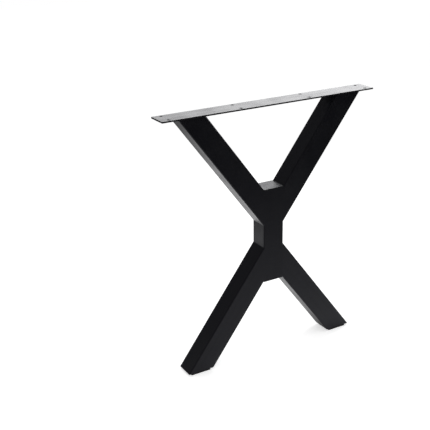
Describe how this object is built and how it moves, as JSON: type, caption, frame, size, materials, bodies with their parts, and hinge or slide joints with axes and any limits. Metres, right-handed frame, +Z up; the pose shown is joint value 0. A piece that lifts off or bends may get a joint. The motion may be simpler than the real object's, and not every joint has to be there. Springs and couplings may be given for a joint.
{
  "type": "x-shaped table leg",
  "caption": "X-shaped dining table leg welded from black powder-coated rectangular steel tube, with a drilled mounting plate on top and flat padded feet",
  "frame": {"origin": "On the floor, midway between the feet, under the middle of the column", "axes": "+Z up, +X along the mounting plate to the right as the picture shows the leg, +Y across the plate to the back"},
  "size_m": [0.6498, 0.06, 0.722],
  "materials": {
    "powder_coat": "satin black powder coat with a fine grain",
    "foot_pad": "matte black rubber"
  },
  "bodies": {
    "root": {"mounting_plate": "powder_coat", "column_tube": "powder_coat", "column_top_cap": "powder_coat", "column_bottom_cap": "powder_coat", "upper_left_arm": "powder_coat", "upper_right_arm": "powder_coat", "lower_left_arm": "powder_coat", "lower_right_arm": "powder_coat", "left_foot_cap": "powder_coat", "right_foot_cap": "powder_coat", "left_foot_pad": "foot_pad", "right_foot_pad": "foot_pad", "upper_left_seam_weld": "powder_coat", "upper_right_seam_weld": "powder_coat", "lower_left_seam_weld": "powder_coat", "lower_right_seam_weld": "powder_coat", "left_plate_welds": "powder_coat", "right_plate_welds": "powder_coat"}
  },
  "joints": []
}
